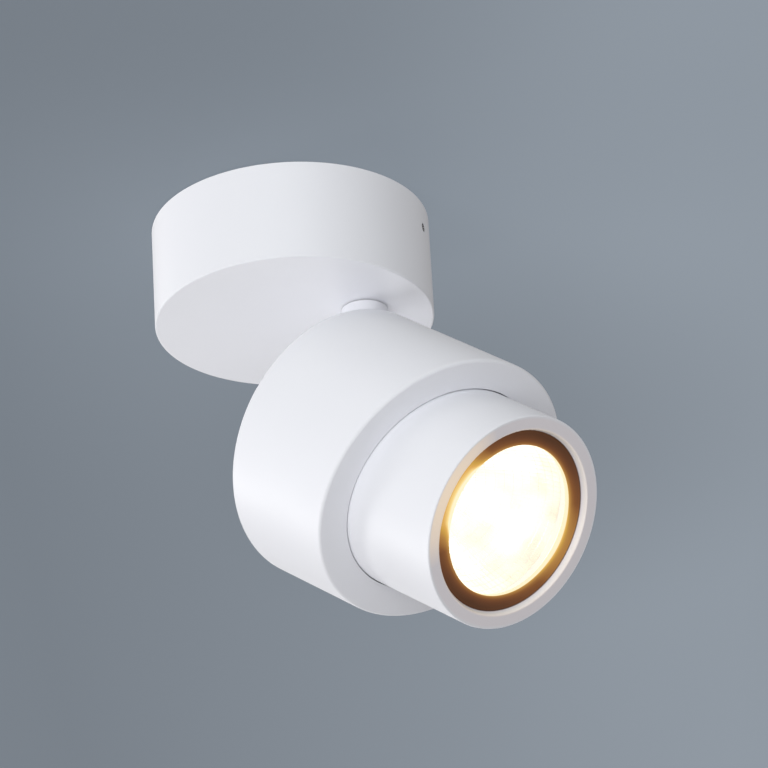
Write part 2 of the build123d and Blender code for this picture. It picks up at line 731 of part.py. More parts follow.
with BuildPart() as bracket_screws:
    screws(head, bracket_screw_places, base_rear, bracket_base + sink_base - blind_floor, m3_radius)
bracket_screws.part.label = "bracket_screws"
export_step(bracket_screws.part, "parts/bracket_screws.step")

from_left = Plane(origin=pivot, x_dir=crown, z_dir=side)
with BuildPart() as tilt_bolt:
    screws(from_left, [(0, 0)], -ear_outer, 2 * ear_outer + bolt_nut_height + thread_spare, m5_radius,
           bolt_head_height)
tilt_bolt.part.label = "tilt_bolt"
export_step(tilt_bolt.part, "parts/tilt_bolt.step")

with BuildPart() as tilt_nut:
    hexagons(from_left, [(0, 0)], ear_outer, ear_outer + bolt_nut_height, bolt_nut_flats)
    rods(from_left, [(0, 0)], ear_outer, ear_outer + bolt_nut_height, m5_radius + thread_fit,
         Mode.SUBTRACT)
tilt_nut.part.label = "tilt_nut"
export_step(tilt_nut.part, "parts/tilt_nut.step")

with BuildPart() as tilt_washers:
    for washer_start in (ear_inner - tilt_washer_thickness, -ear_inner):
        disc(from_left, washer_start, washer_start + tilt_washer_thickness, tilt_washer_radius,
             m5_radius + thread_fit)
tilt_washers.part.label = "tilt_washers"
export_step(tilt_washers.part, "parts/tilt_washers.step")

# ---- Light source on the heat sink's pedestal ----------------------------------------------
with BuildPart() as thermal_pad:
    pad_size = board_size - 2 * pad_inset
    block(head, (0, 0), (pad_size, pad_size), pad_seat, board_seat)
thermal_pad.part.label = "thermal_pad"
export_step(thermal_pad.part, "parts/thermal_pad.step")

with BuildPart() as led_board:
    block(head, (0, 0), (board_size, board_size), board_seat, emitter_seat)
led_board.part.label = "led_board"
export_step(led_board.part, "parts/led_board.step")

with BuildPart() as led_emitter:
    disc(head, emitter_seat, emitter_seat + emitter_thickness, emitter_radius)
led_emitter.part.label = "led_emitter"
export_step(led_emitter.part, "parts/led_emitter.step")

holder_screw_places = on_circle(holder_screw_circle, 2, 0)
with BuildPart() as led_holder:
    disc(head, pad_seat, holder_front, holder_radius, holder_window)
    block(head, (0, 0), (board_size + 2 * slide_fit, board_size + 2 * slide_fit),
          pad_seat, emitter_seat + slide_fit, Mode.SUBTRACT)
    rods(head, holder_screw_places, pad_seat, holder_front, m3_radius + clearance_hole, Mode.SUBTRACT)
led_holder.part.label = "led_holder"
export_step(led_holder.part, "parts/led_holder.step")

facing_rear = Plane(origin=head_rear + beam * holder_front, x_dir=side, z_dir=-beam)
with BuildPart() as holder_screws:
    screws(facing_rear, holder_screw_places, 0, holder_height + pedestal_height + thread_spare, m3_radius)
holder_screws.part.label = "holder_screws"
export_step(holder_screws.part, "parts/holder_screws.step")

lead_front = pad_seat + head_lead_height
lead_distance = sqrt(lead_place[0] ** 2 + lead_place[1] ** 2)
holder_side = [c * holder_radius / lead_distance for c in lead_place]
head_lead_points = [
    head.from_local_coords(Vector(lead_place[0], lead_place[1], fin_rear)),
    head.from_local_coords(Vector(lead_place[0], lead_place[1], lead_front)),
    head.from_local_coords(Vector(holder_side[0], holder_side[1], lead_front)),
]
with BuildPart() as lead_in_head:
    lead(head_lead_points, lead_radius, bend_radius(head_lead_points))
lead_in_head.part.label = "lead_in_head"
export_step(lead_in_head.part, "parts/lead_in_head.step")

with BuildPart() as glide_ring:
    disc(head, glide_seat + thread_fit, glide_seat + glide_height - thread_fit,
         glide_radius - thread_fit, barrel_radius + slide_fit)
glide_ring.part.label = "glide_ring"
export_step(glide_ring.part, "parts/glide_ring.step")

# ---- Zoom barrel --------------------------------------------------------------------------
with BuildPart() as barrel_tube:
    with BuildSketch(head_section):
        with BuildLine():
            Polyline(
                (barrel_bore, flange_rear),
                (flange_radius, flange_rear),
                (flange_radius, flange_front),
                (barrel_radius, flange_front),
                (barrel_radius, lip),
                (lip_inner_radius, lip),
                (mouth_radius, ring_front),
                (mouth_radius, ledge_front),
                (ledge_radius, ledge_front),
                (ledge_radius, ledge_rear),
                (barrel_bore, ledge_rear),
                close=True,
            )
        make_face()
    revolve(axis=head_axis)
    lip_edges = barrel_tube.edges().sort_by(head_axis)[-2:]
    fillet(lip_edges, radius=lip_edge)
barrel_tube.part.label = "barrel_tube"
export_step(barrel_tube.part, "parts/barrel_tube.step")

with BuildPart() as glare_ring:
    disc(head, lens_front, ring_front, mouth_radius - thread_fit, ring_inner_radius)
glare_ring.part.label = "glare_ring"
export_step(glare_ring.part, "parts/glare_ring.step")

with BuildPart() as lens:
    disc(head, lens_rear, lens_front, mouth_radius - thread_fit)
lens.part.label = "lens"
export_step(lens.part, "parts/lens.step")

with BuildPart() as lens_seal:
    disc(head, ledge_front, lens_rear, mouth_radius - thread_fit, ledge_radius)
lens_seal.part.label = "lens_seal"
export_step(lens_seal.part, "parts/lens_seal.step")

mid_radius = (reflector_rear_radius + ledge_radius) / 2 + reflector_bulge
mid_depth = (reflector_rear + ledge_rear) / 2
rim_radius = barrel_bore - slide_fit
with BuildPart() as reflector:
    with BuildSketch(head_section):
        with BuildLine():
            ThreePointArc((reflector_rear_radius, reflector_rear), (mid_radius, mid_depth),
                          (ledge_radius, ledge_rear))
            Polyline((ledge_radius, ledge_rear), (rim_radius, ledge_rear), (rim_radius, rim_rear),
                     (ledge_radius + reflector_wall, rim_rear))
            ThreePointArc((ledge_radius + reflector_wall, rim_rear),
                          (mid_radius + reflector_wall, mid_depth - reflector_wall / 2),
                          (reflector_rear_radius + reflector_wall, reflector_rear))
            Line((reflector_rear_radius + reflector_wall, reflector_rear),
                 (reflector_rear_radius, reflector_rear))
        make_face()
    revolve(axis=head_axis)
reflector.part.label = "reflector"
export_step(reflector.part, "parts/reflector.step")

with BuildPart() as reflector_clip:
    disc(head, rim_rear - clip_thickness, rim_rear, rim_radius, rim_radius - clip_width)
    block(head, (-rim_radius, 0), (2 * clip_width + clip_gap, clip_gap), rim_rear - clip_thickness, rim_rear,
          Mode.SUBTRACT)
reflector_clip.part.label = "reflector_clip"
export_step(reflector_clip.part, "parts/reflector_clip.step")

# ---- What the joints and mounts need ------------------------------------------------------
stop_angle = degrees(asin((stop_peg_radius + stop_tab_width / 2) / stop_peg_distance))
print("pan axis at", stem_foot, "half range", 180 - stop_angle, "rest", pan_rest)
print("tilt pivot", pivot, "axis", -side)
print("beam", beam, "crown", crown, "head rear", head_rear)
print("zoom", -zoom_in, zoom_out, "slot front", slot_front, "lip", lip, "front", front_depth)
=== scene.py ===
import json
from math import atan2, cos, pi, radians, sin

import bmesh
import bpy
from mathutils import Matrix, Vector


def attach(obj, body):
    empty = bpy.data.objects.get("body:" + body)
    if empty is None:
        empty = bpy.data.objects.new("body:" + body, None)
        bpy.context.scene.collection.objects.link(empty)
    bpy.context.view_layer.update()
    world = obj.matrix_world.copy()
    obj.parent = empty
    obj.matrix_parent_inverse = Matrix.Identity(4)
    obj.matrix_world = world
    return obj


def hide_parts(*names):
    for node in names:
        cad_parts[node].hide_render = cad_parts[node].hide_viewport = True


# The looks of the ceiling spotlight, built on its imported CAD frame. Metres, +Z up.
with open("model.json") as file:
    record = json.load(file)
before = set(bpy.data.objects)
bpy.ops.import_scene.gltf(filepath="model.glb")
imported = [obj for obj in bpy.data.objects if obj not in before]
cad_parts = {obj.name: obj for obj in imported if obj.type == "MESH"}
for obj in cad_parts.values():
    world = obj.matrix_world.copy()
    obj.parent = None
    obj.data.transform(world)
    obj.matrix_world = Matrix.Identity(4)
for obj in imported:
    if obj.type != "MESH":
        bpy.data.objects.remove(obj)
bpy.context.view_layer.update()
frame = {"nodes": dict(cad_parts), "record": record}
nodes = frame["nodes"]
MM = 0.001

# ---- The head's own frame at rest: X sideways, Y towards its top, Z along the beam ------
PAN_REST = -22.0
TILT_REST = 37.5
STEM_OFFSET = 26.25
PIVOT_HEIGHT = -91.7
PIVOT_DEPTH = 14.0
PIVOT_RISE = 4.0

up = Vector((0, 0, 1))
heading = Matrix.Rotation(radians(PAN_REST), 3, "Z") @ Vector((0, -1, 0))
beam = heading * cos(radians(TILT_REST)) - up * sin(radians(TILT_REST))
side = up.cross(heading)
crown = beam.cross(side)
pivot = Vector((0, -STEM_OFFSET, PIVOT_HEIGHT)) * MM
head_rear = pivot - beam * PIVOT_DEPTH * MM - crown * PIVOT_RISE * MM
head = Matrix.Translation(head_rear) @ Matrix((side, crown, beam)).transposed().to_4x4()

# Places along the beam, radii and drops in millimetres, from the CAD source
SINK_REAR = 22.0
REFLECTOR_REAR = 46.9
LEDGE_REAR = 81.5
LENS_REAR = 84.8
LENS_FRONT = 88.3
RING_FRONT = 90.3
LIP_FRONT = 92.5
REFLECTOR_REAR_RADIUS = 11.0
LEDGE_RADIUS = 29.5
BARREL_BORE = 36.2
MOUTH_RADIUS = 32.4
RING_INNER_RADIUS = 27.0
BARREL_RADIUS = 38.25
HOLDER_WINDOW_RADIUS = 8.0
SIDE_SCREW_RADIUS = 1.5
SIDE_SCREW_DROP = 10.0
side_screw = Matrix.Translation((0, 0, -SIDE_SCREW_DROP * MM)) @ Matrix.Rotation(radians(90), 4, "X")


# ---- Materials --------------------------------------------------------------------------
def group(name, inputs, outputs):
    """A shader node group with its sockets; returns the tree and its two ends."""
    tree = bpy.data.node_groups.new(name, "ShaderNodeTree")
    for label, kind, value in inputs:
        socket = tree.interface.new_socket(label, in_out="INPUT", socket_type="NodeSocket" + kind)
        socket.default_value = value
    for label, kind in outputs:
        tree.interface.new_socket(label, in_out="OUTPUT", socket_type="NodeSocket" + kind)
    return tree, tree.nodes.new("NodeGroupInput"), tree.nodes.new("NodeGroupOutput")


def node(tree, kind, **values):
    """A node of the tree with the named sockets or settings given."""
    made = tree.nodes.new("ShaderNode" + kind)
    for key, value in values.items():
        if key in made.inputs:
            made.inputs[key].default_value = value
        else:
            setattr(made, key, value)
    return made


def noise(tree, coordinates, scale_from, detail):
    """Noise over the coordinates, at a scale given by another socket."""
    made = node(tree, "TexNoise", Detail=detail, Roughness=0.55)
    tree.links.new(coordinates, made.inputs["Vector"])
    tree.links.new(scale_from, made.inputs["Scale"])
    return made.outputs["Fac"]


def spread(tree, value, low, high):
    """Maps noise onto the range between two sockets."""
    made = node(tree, "MapRange")
    made.inputs["From Min"].default_value = 0.3
    made.inputs["From Max"].default_value = 0.7
    tree.links.new(value, made.inputs["Value"])
    tree.links.new(low, made.inputs["To Min"])
    tree.links.new(high, made.inputs["To Max"])
    return made.outputs["Result"]


def tones(tree, value, first, second):
    """Mixes two colours by a value."""
    made = node(tree, "Mix", data_type="RGBA")
    tree.links.new(value, made.inputs[0])
    tree.links.new(first, made.inputs[6])
    tree.links.new(second, made.inputs[7])
    return made.outputs[2]


FINISH_INPUTS = [
    ("Tone", "Color", (0.8, 0.8, 0.8, 1)),
    ("Other Tone", "Color", (0.7, 0.7, 0.7, 1)),
    ("Patch Scale", "Float", 40.0),
    ("Grain Scale", "Float", 2500.0),
    ("Least Roughness", "Float", 0.4),
    ("Most Roughness", "Float", 0.5),
]
FINISH_OUTPUTS = [("Color", "Color"), ("Roughness", "Float"), ("Height", "Float")]


def finish_group(name, stretch):
    """Broad patches of tone and roughness with a fine grain, drawn out along an axis by stretch."""
    tree, start, end = group(name, FINISH_INPUTS, FINISH_OUTPUTS)
    place = node(tree, "TexCoord").outputs["Object"]
    drawn = node(tree, "Mapping", Scale=stretch)
    tree.links.new(place, drawn.inputs["Vector"])
    patches = noise(tree, place, start.outputs["Patch Scale"], 4.0)
    grain = noise(tree, drawn.outputs["Vector"], start.outputs["Grain Scale"], 2.0)
    both = node(tree, "Math", operation="ADD")
    halved = node(tree, "Math", operation="MULTIPLY")
    halved.inputs[1].default_value = 0.5
    tree.links.new(patches, both.inputs[0])
    tree.links.new(grain, both.inputs[1])
    tree.links.new(both.outputs[0], halved.inputs[0])
    tree.links.new(tones(tree, halved.outputs[0], start.outputs["Tone"], start.outputs["Other Tone"]),
                   end.inputs["Color"])
    tree.links.new(spread(tree, halved.outputs[0], start.outputs["Least Roughness"],
                          start.outputs["Most Roughness"]), end.inputs["Roughness"])
    tree.links.new(grain, end.inputs["Height"])
    return tree


grained = finish_group("grained finish", (1, 1, 1))
brushed = finish_group("brushed finish", (1, 1, 0.06))


def material(name, finish, tone, other, scales, roughness, bump, **shader):
    """A procedural material: tone and other are colours, bump the depth of its grain in metres."""
    made = bpy.data.materials.new(name)
    made.use_nodes = True
    tree = made.node_tree
    principled = tree.nodes["Principled BSDF"]
    detail = tree.nodes.new("ShaderNodeGroup")
    detail.node_tree = finish
    settings = [(*tone, 1), (*other, 1), *scales, *roughness]
    for (label, _, _), value in zip(FINISH_INPUTS, settings):
        detail.inputs[label].default_value = value
    raised = node(tree, "Bump", Strength=1.0, Distance=bump)
    tree.links.new(detail.outputs["Height"], raised.inputs["Height"])
    tree.links.new(detail.outputs["Color"], principled.inputs["Base Color"])
    tree.links.new(detail.outputs["Roughness"], principled.inputs["Roughness"])
    tree.links.new(raised.outputs["Normal"], principled.inputs["Normal"])
    for label, value in shader.items():
        principled.inputs[label.replace("_", " ")].default_value = value
    return made


materials = {
    "white_coat": material("white powder coat", grained, (0.825, 0.835, 0.880), (0.785, 0.795, 0.840),
                           (25, 2600), (0.42, 0.55), 0.00002),
    "zinc_steel": material("zinc plated steel", brushed, (0.62, 0.63, 0.66), (0.48, 0.49, 0.50),
                           (60, 5000), (0.28, 0.48), 0.00001, Metallic=1.0),
    "bright_screw": material("stainless screw steel", brushed, (0.70, 0.70, 0.72), (0.60, 0.60, 0.61),
                             (80, 6000), (0.18, 0.34), 0.000006, Metallic=1.0),
    "cast_aluminium": material("cast aluminium", grained, (0.66, 0.67, 0.68), (0.55, 0.56, 0.57),
                               (50, 3000), (0.40, 0.62), 0.00003, Metallic=1.0),
    "brass": material("plain brass", brushed, (0.78, 0.60, 0.27), (0.66, 0.49, 0.20),
                      (90, 5000), (0.25, 0.42), 0.000008, Metallic=1.0),
    "silicone": material("milky silicone", grained, (0.78, 0.78, 0.76), (0.70, 0.70, 0.68),
                         (60, 2000), (0.45, 0.60), 0.00001),
    "nylon": material("natural nylon", grained, (0.80, 0.79, 0.73), (0.72, 0.71, 0.65),
                      (60, 2500), (0.40, 0.55), 0.00001),
    "driver_plastic": material("moulded white plastic", grained, (0.78, 0.78, 0.76),
                               (0.72, 0.72, 0.70), (40, 2200), (0.38, 0.52), 0.00001),
    "circuit_board": material("green circuit board", grained, (0.04, 0.20, 0.09), (0.03, 0.14, 0.06),
                              (300, 1500), (0.30, 0.45), 0.00001),
    "led_ceramic": material("white ceramic", grained, (0.82, 0.82, 0.80), (0.76, 0.76, 0.74),
                            (80, 3000), (0.30, 0.45), 0.000005),
    "ferrite": material("dark ferrite", grained, (0.06, 0.06, 0.065), (0.10, 0.10, 0.10),
                        (120, 2500), (0.50, 0.70), 0.00002),
    "capacitor_sleeve": material("shrink sleeve", grained, (0.05, 0.07, 0.16), (0.03, 0.04, 0.10),
                                 (100, 1500), (0.25, 0.35), 0.000006),
    "lead_sheath": material("white sheath", grained, (0.76, 0.76, 0.75), (0.68, 0.68, 0.67),
                            (90, 2500), (0.45, 0.60), 0.00001),
    "wire_blue": material("blue insulation", grained, (0.06, 0.16, 0.50), (0.04, 0.11, 0.38),
                          (90, 2500), (0.40, 0.55), 0.00001),
    "black_plastic": material("matt black plastic", grained, (0.008, 0.007, 0.006),
                              (0.014, 0.012, 0.010), (120, 3000), (0.50, 0.70), 0.00001,
                              Specular_IOR_Level=0.25),
    "bright_reflector": material("bright facets", grained, (0.86, 0.81, 0.74), (0.78, 0.73, 0.66),
                                 (200, 4000), (0.12, 0.22), 0.000003, Metallic=1.0),
    "phosphor": material("lit phosphor", grained, (0.95, 0.80, 0.35), (0.90, 0.72, 0.28),
                         (300, 3000), (0.30, 0.45), 0.00001),
    "lens_clear": material("clear lens plastic", grained, (0.98, 0.98, 0.97), (0.95, 0.95, 0.94),
                           (60, 1200), (0.01, 0.05), 0.000001, IOR=1.49, Transmission_Weight=1.0),
}


def place_in(tree, own_frame):
    """Object coordinates in a frame of a part's own, in metres."""
    place = node(tree, "TexCoord").outputs["Object"]
    turned = node(tree, "Mapping", vector_type="TEXTURE")
    turned.inputs["Location"].default_value = own_frame.translation
    turned.inputs["Rotation"].default_value = own_frame.to_euler()
    tree.links.new(place, turned.inputs["Vector"])
    return turned.outputs["Vector"]


def ramp(tree, value, stops):
    """A colour ramp over a value, with stops of (position, colour)."""
    made = node(tree, "ValToRGB")
    colours = made.color_ramp.elements
    while len(colours) < len(stops):
        colours.new(1.0)
    for element, (position, colour) in zip(colours, stops):
        element.position = position
        element.color = (*colour, 1)
    tree.links.new(value, made.inputs["Fac"])
    return made.outputs["Color"]


def across(tree, place, operation):
    """A place's way out from the axis: LENGTH measures it, NORMALIZE gives its direction."""
    flat = node(tree, "VectorMath", operation="MULTIPLY")
    flat.inputs[1].default_value = (1, 1, 0)
    made = node(tree, "VectorMath", operation=operation)
    tree.links.new(place, flat.inputs[0])
    tree.links.new(flat.outputs["Vector"], made.inputs[0])
    return made


def part_of(tree, vector, axis):
    """One coordinate of a vector."""
    parts = node(tree, "SeparateXYZ")
    tree.links.new(vector, parts.inputs["Vector"])
    return parts.outputs[axis]


def level_along(tree, place, measure, span, steps):
    """A level that changes with the radius or depth in millimetres, or from side to side (-1 to 1)."""
    if measure == "radius":
        value, unit = across(tree, place, "LENGTH").outputs["Value"], MM
    elif measure == "depth":
        value, unit = part_of(tree, place, "Z"), MM
    else:
        value, unit = part_of(tree, across(tree, place, "NORMALIZE").outputs["Vector"], "X"), 1
    scaled = node(tree, "MapRange")
    scaled.inputs["From Min"].default_value = span[0] * unit
    scaled.inputs["From Max"].default_value = span[1] * unit
    tree.links.new(value, scaled.inputs["Value"])
    greys = [(position, (step,) * 3) for position, step in steps]
    return ramp(tree, scaled.outputs["Result"], greys)


def joined(tree, operation, first, second):
    """Two values joined by a sum, product or maximum."""
    made = node(tree, "Math", operation=operation)
    tree.links.new(first, made.inputs[0])
    tree.links.new(second, made.inputs[1])
    return made.outputs[0]


# Soft spots of painted light in the reflector's glow
SPOT_SCALE = 75.0
SPOT_RANGE = (0.52, 0.75)
SPOT_PLACE = (0.26, 0.14, 0)


def painted_light_group(name, layers, stops, painted_light_spots=0.0, own_frame=head):
    """Painted light or shade that changes over a part: layers of levels, then a colour for each level.
    """
    tree, _, end = group(name, [], [("Color", "Color")])
    place = place_in(tree, own_frame)
    level = level_along(tree, place, *layers[0])
    for operation, *layer in layers[1:]:
        level = joined(tree, operation, level, level_along(tree, place, *layer))
    if painted_light_spots:
        spots = node(tree, "TexNoise", Scale=SPOT_SCALE, Detail=1.0)
        shifted = node(tree, "Mapping", Location=SPOT_PLACE)
        tree.links.new(place, shifted.inputs["Vector"])
        tree.links.new(shifted.outputs["Vector"], spots.inputs["Vector"])
        swing = node(tree, "MapRange")
        swing.inputs["From Min"].default_value, swing.inputs["From Max"].default_value = SPOT_RANGE
        swing.inputs["To Max"].default_value = painted_light_spots
        tree.links.new(spots.outputs["Fac"], swing.inputs["Value"])
        level = joined(tree, "ADD", level, swing.outputs["Result"])
    tree.links.new(ramp(tree, level, stops), end.inputs["Color"])
    return tree


def add_shade(made, shade):
    """Multiplies the material's colour by a group's colour of painted shade."""
    tree = made.node_tree
    base = tree.nodes["Principled BSDF"].inputs["Base Color"]
    source = tree.nodes.new("ShaderNodeGroup")
    source.node_tree = shade
    product = node(tree, "Mix", data_type="RGBA", blend_type="MULTIPLY")
    product.inputs[0].default_value = 1.0
    tree.links.new(base.links[0].from_socket, product.inputs[6])
    tree.links.new(source.outputs["Color"], product.inputs[7])
    tree.links.new(product.outputs[2], base)


def add_glow(made, glow, strength):
    """Feeds a glow group to the material's emission."""
    tree = made.node_tree
    principled = tree.nodes["Principled BSDF"]
    source = tree.nodes.new("ShaderNodeGroup")
    source.node_tree = glow
    tree.links.new(source.outputs["Color"], principled.inputs["Emission Color"])
    principled.inputs["Emission Strength"].default_value = strength


def lit_copy(kind, name, glow, strength):
    """A copy of a finish with the lamp's light painted on it as a glow."""
    made = materials[kind].copy()
    made.name = name
    add_glow(made, glow, strength)
    return made


# The lamp is on: its light in the reflector and its spill over the ring and the lip are painted as
# glows
ring_glow = painted_light_group("ring glow", [
    ("side", (-1, 1), [
        (0.0, 0.86), (0.03, 0.80), (0.067, 0.49), (0.117, 0.19), (0.25, 0.07),
        (0.50, 0.0), (0.75, 0.07), (0.933, 0.24), (1.0, 0.52)]),
    ("ADD", "radius", (RING_INNER_RADIUS, RING_INNER_RADIUS + 5.0), [
        (0.0, 1.0), (0.02, 0.50), (0.08, 0.37), (0.30, 0.16), (0.54, 0.06), (0.80, 0.0)]),
], [
    (0.02, (0.070, 0.024, 0.007)),
    (0.14, (0.120, 0.040, 0.012)),
    (0.30, (0.210, 0.076, 0.018)),
    (0.58, (0.450, 0.220, 0.050)),
    (0.72, (0.600, 0.340, 0.060)),
    (0.83, (0.740, 0.410, 0.100)),
    (0.94, (0.970, 0.720, 0.280)),
    (1.00, (1.000, 0.900, 0.600)),
])
bowl_glow = painted_light_group("bowl glow", [
    ("side", (-1, 1), [(0.0, 1.0), (0.55, 1.0), (0.80, 0.5), (0.95, 0.0)]),
    ("ADD", "depth", (REFLECTOR_REAR, LEDGE_REAR), [(0.0, 0.0), (0.7, 0.0), (0.9, 0.35), (1.0, 0.5)]),
], [
    (0.0, (1.00, 1.00, 1.00)),
    (0.5, (0.80, 0.76, 0.67)),
    (1.0, (0.48, 0.46, 0.38)),
], painted_light_spots=0.55)
source_glow = painted_light_group("source glow", [
    ("radius", (0.0, HOLDER_WINDOW_RADIUS), [(0.0, 0.0), (1.0, 1.0)]),
], [
    (0.0, (1.0, 0.94, 0.80)),
    (1.0, (1.0, 0.84, 0.60)),
])
# Painted light of the lamp in the well round the LED, on the heat sink and the holder
well_glow = painted_light_group("well glow", [
    ("depth", (SINK_REAR, SINK_REAR + 3.5), [(0.0, 0.0), (1.0, 1.0)]),
], [
    (0.0, (0.0, 0.0, 0.0)),
    (1.0, (0.55, 0.51, 0.42)),
])
lip_glow = painted_light_group("lip glow", [
    ("side", (-1, 1), [(0.0, 0.45), (0.06, 0.30), (0.14, 0.0)]),
    ("MAXIMUM", "radius", (MOUTH_RADIUS - 0.4, MOUTH_RADIUS + 1.6), [
        (0.0, 0.22), (0.6, 0.18), (1.0, 0.0)]),
    ("MULTIPLY", "radius", (BARREL_RADIUS - 0.95, BARREL_RADIUS - 0.25), [(0.0, 1.0), (1.0, 0.0)]),
    ("MULTIPLY", "depth", (RING_FRONT + 0.3, LIP_FRONT - 0.3), [(0.0, 0.0), (1.0, 1.0)]),
    ("ADD", "radius", (LEDGE_RADIUS + 1.0, LEDGE_RADIUS + 2.0), [(0.0, 1.0), (1.0, 0.0)]),
], [
    (0.0, (0.0, 0.0, 0.0)),
    (0.5, (0.34, 0.21, 0.035)),
    (1.0, (1.0, 0.97, 0.86)),
])

# Painted shade where the mouth meets the ring, and a painted warm tint of the lamp's light on the face
# of the lip
painted_lip_shade = painted_light_group("lip shade", [
    ("depth", (RING_FRONT, LIP_FRONT), [
        (0.0, 1.0), (0.18, 0.35), (0.36, 0.0), (0.9, 0.0), (0.97, 0.5), (1.0, 0.5)]),
    ("MULTIPLY", "radius", (BARREL_RADIUS - 1.25, BARREL_RADIUS - 0.35), [(0.0, 1.0), (1.0, 0.0)]),
], [
    (0.0, (1.0, 1.0, 1.0)),
    (0.5, (0.985, 0.93, 0.92)),
    (1.0, (0.18, 0.14, 0.12)),
])

# Painted shade: the side screws are bright in their middle and dark at the rim, where shade falls in
# their holes
painted_screw_shade = painted_light_group("screw shade", [
    ("radius", (0.0, SIDE_SCREW_RADIUS), [(0.49, 0.0), (0.55, 1.0)]),
], [
    (0.0, (1.0, 1.0, 1.0)),
    (1.0, (0.02, 0.02, 0.025)),
], own_frame=side_screw)

facet_edge = material("facet edges", grained, (0.80, 0.75, 0.66), (0.72, 0.67, 0.58),
                      (200, 4000), (0.25, 0.40), 0.000003, Metallic=1.0)
# Painted glows of the lamp's light on the black ring, the reflector's facets and their edges; the
# phosphor is the lamp itself
add_glow(materials["black_plastic"], ring_glow, 1.0)
add_glow(materials["bright_reflector"], bowl_glow, 0.80)
add_glow(facet_edge, bowl_glow, 0.60)
add_glow(materials["phosphor"], source_glow, 14.0)

# Finishes of single nodes, with painted light of the lamp on the barrel, heat sink, holder and seal,
# and painted shade on the side screws
barrel_coat_painted_light = lit_copy("white_coat", "white powder coat in the lamp's light", lip_glow, 1.0)
add_shade(barrel_coat_painted_light, painted_lip_shade)
screw_end_painted_shade = material("polished screw end", brushed, (0.95, 0.95, 0.97), (0.88, 0.88, 0.90),
                     (90, 6000), (0.25, 0.42), 0.000006, Metallic=0.3)
add_shade(screw_end_painted_shade, painted_screw_shade)
own_finish_and_painted_light = {
    "barrel_tube": barrel_coat_painted_light,
    "heat_sink": lit_copy("cast_aluminium", "cast aluminium in the lamp's light", well_glow, 1.4),
    "led_holder": lit_copy("driver_plastic", "white plastic in the lamp's light", well_glow, 1.8),
    "lens_seal": lit_copy("silicone", "silicone in the lamp's light", bowl_glow, 1.0),
    "side_screws": screw_end_painted_shade,
}


# ---- Pieces that carry more detail than their CAD nodes -------------------------------------
def finished(bm, name, body, cad_node, kinds):
    """Puts a mesh in its place in the head, riding on a body in place of a CAD node."""
    bmesh.ops.remove_doubles(bm, verts=bm.verts, dist=1e-6)
    bmesh.ops.recalc_face_normals(bm, faces=bm.faces)
    bmesh.ops.transform(bm, matrix=head @ Matrix.Scale(MM, 4), verts=bm.verts)
    mesh = bpy.data.meshes.new(name)
    bm.to_mesh(mesh)
    bm.free()
    piece = bpy.data.objects.new(name, mesh)
    bpy.context.scene.collection.objects.link(piece)
    for kind in kinds:
        mesh.materials.append(kind)
    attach(piece, body)
    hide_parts(cad_node)
    return piece


def turned(profile, steps):
    """A closed ring or disc: the profile of (radius, height) points spun round the beam."""
    bm = bmesh.new()
    points = [bm.verts.new((radius, 0, height)) for radius, height in profile]
    edges = [bm.edges.new(pair) for pair in zip(points, points[1:] + points[:1])
             if pair[0].co.x > 0 or pair[1].co.x > 0]
    bmesh.ops.spin(bm, geom=points + edges, axis=(0, 0, 1), cent=(0, 0, 0), steps=steps,
                   angle=2 * pi, use_merge=True)
    return bm


# Lens plate with a small chamfer at its edge
side_gap = 0.1
face_gap = 0.05
lens_chamfer = 0.3
lens_radius = MOUTH_RADIUS - side_gap
lens_rear = LENS_REAR + face_gap
lens_front = LENS_FRONT - face_gap
lens_bm = turned([
    (0, lens_rear),
    (lens_radius - lens_chamfer, lens_rear),
    (lens_radius, lens_rear + lens_chamfer),
    (lens_radius, lens_front - lens_chamfer),
    (lens_radius - lens_chamfer, lens_front),
    (0, lens_front),
], 96)
finished(lens_bm, "lens_plate", "barrel", "lens", [materials["lens_clear"]])

# Flat black ring with softened edges
ring_rear = LENS_FRONT + 0.02
ring_radius = MOUTH_RADIUS - side_gap
outer_chamfer = 0.15
inner_bevel = 0.35
inner_corner = 0.1
ring_bm = turned([
    (RING_INNER_RADIUS, ring_rear),
    (ring_radius, ring_rear),
    (ring_radius, RING_FRONT - outer_chamfer),
    (ring_radius - outer_chamfer, RING_FRONT),
    (RING_INNER_RADIUS + inner_bevel, RING_FRONT),
    (RING_INNER_RADIUS + inner_corner, RING_FRONT - inner_corner),
    (RING_INNER_RADIUS, RING_FRONT - inner_bevel),
], 128)
baffle_ring = finished(ring_bm, "baffle_ring", "barrel", "glare_ring",
                       [materials["black_plastic"]])
for face in baffle_ring.data.polygons:
    face.use_smooth = True
baffle_ring.data.set_sharp_from_angle(angle=radians(40))

# Reflector bowl with rows of flat facets
FACET_ROWS = 12
FACET_COLUMNS = 96
BOWL_BULGE = 3.0
facet_border = 0.12
facet_depth = 0.04
reflector_wall = 1.2
rim_thickness = 1.4
rim_radius = BARREL_BORE - 0.15


def bowl_radius(share):
    """The reflector's inner radius at a share of its height."""
    straight = REFLECTOR_REAR_RADIUS + (LEDGE_RADIUS - REFLECTOR_REAR_RADIUS) * share
    return straight + 4 * BOWL_BULGE * share * (1 - share)


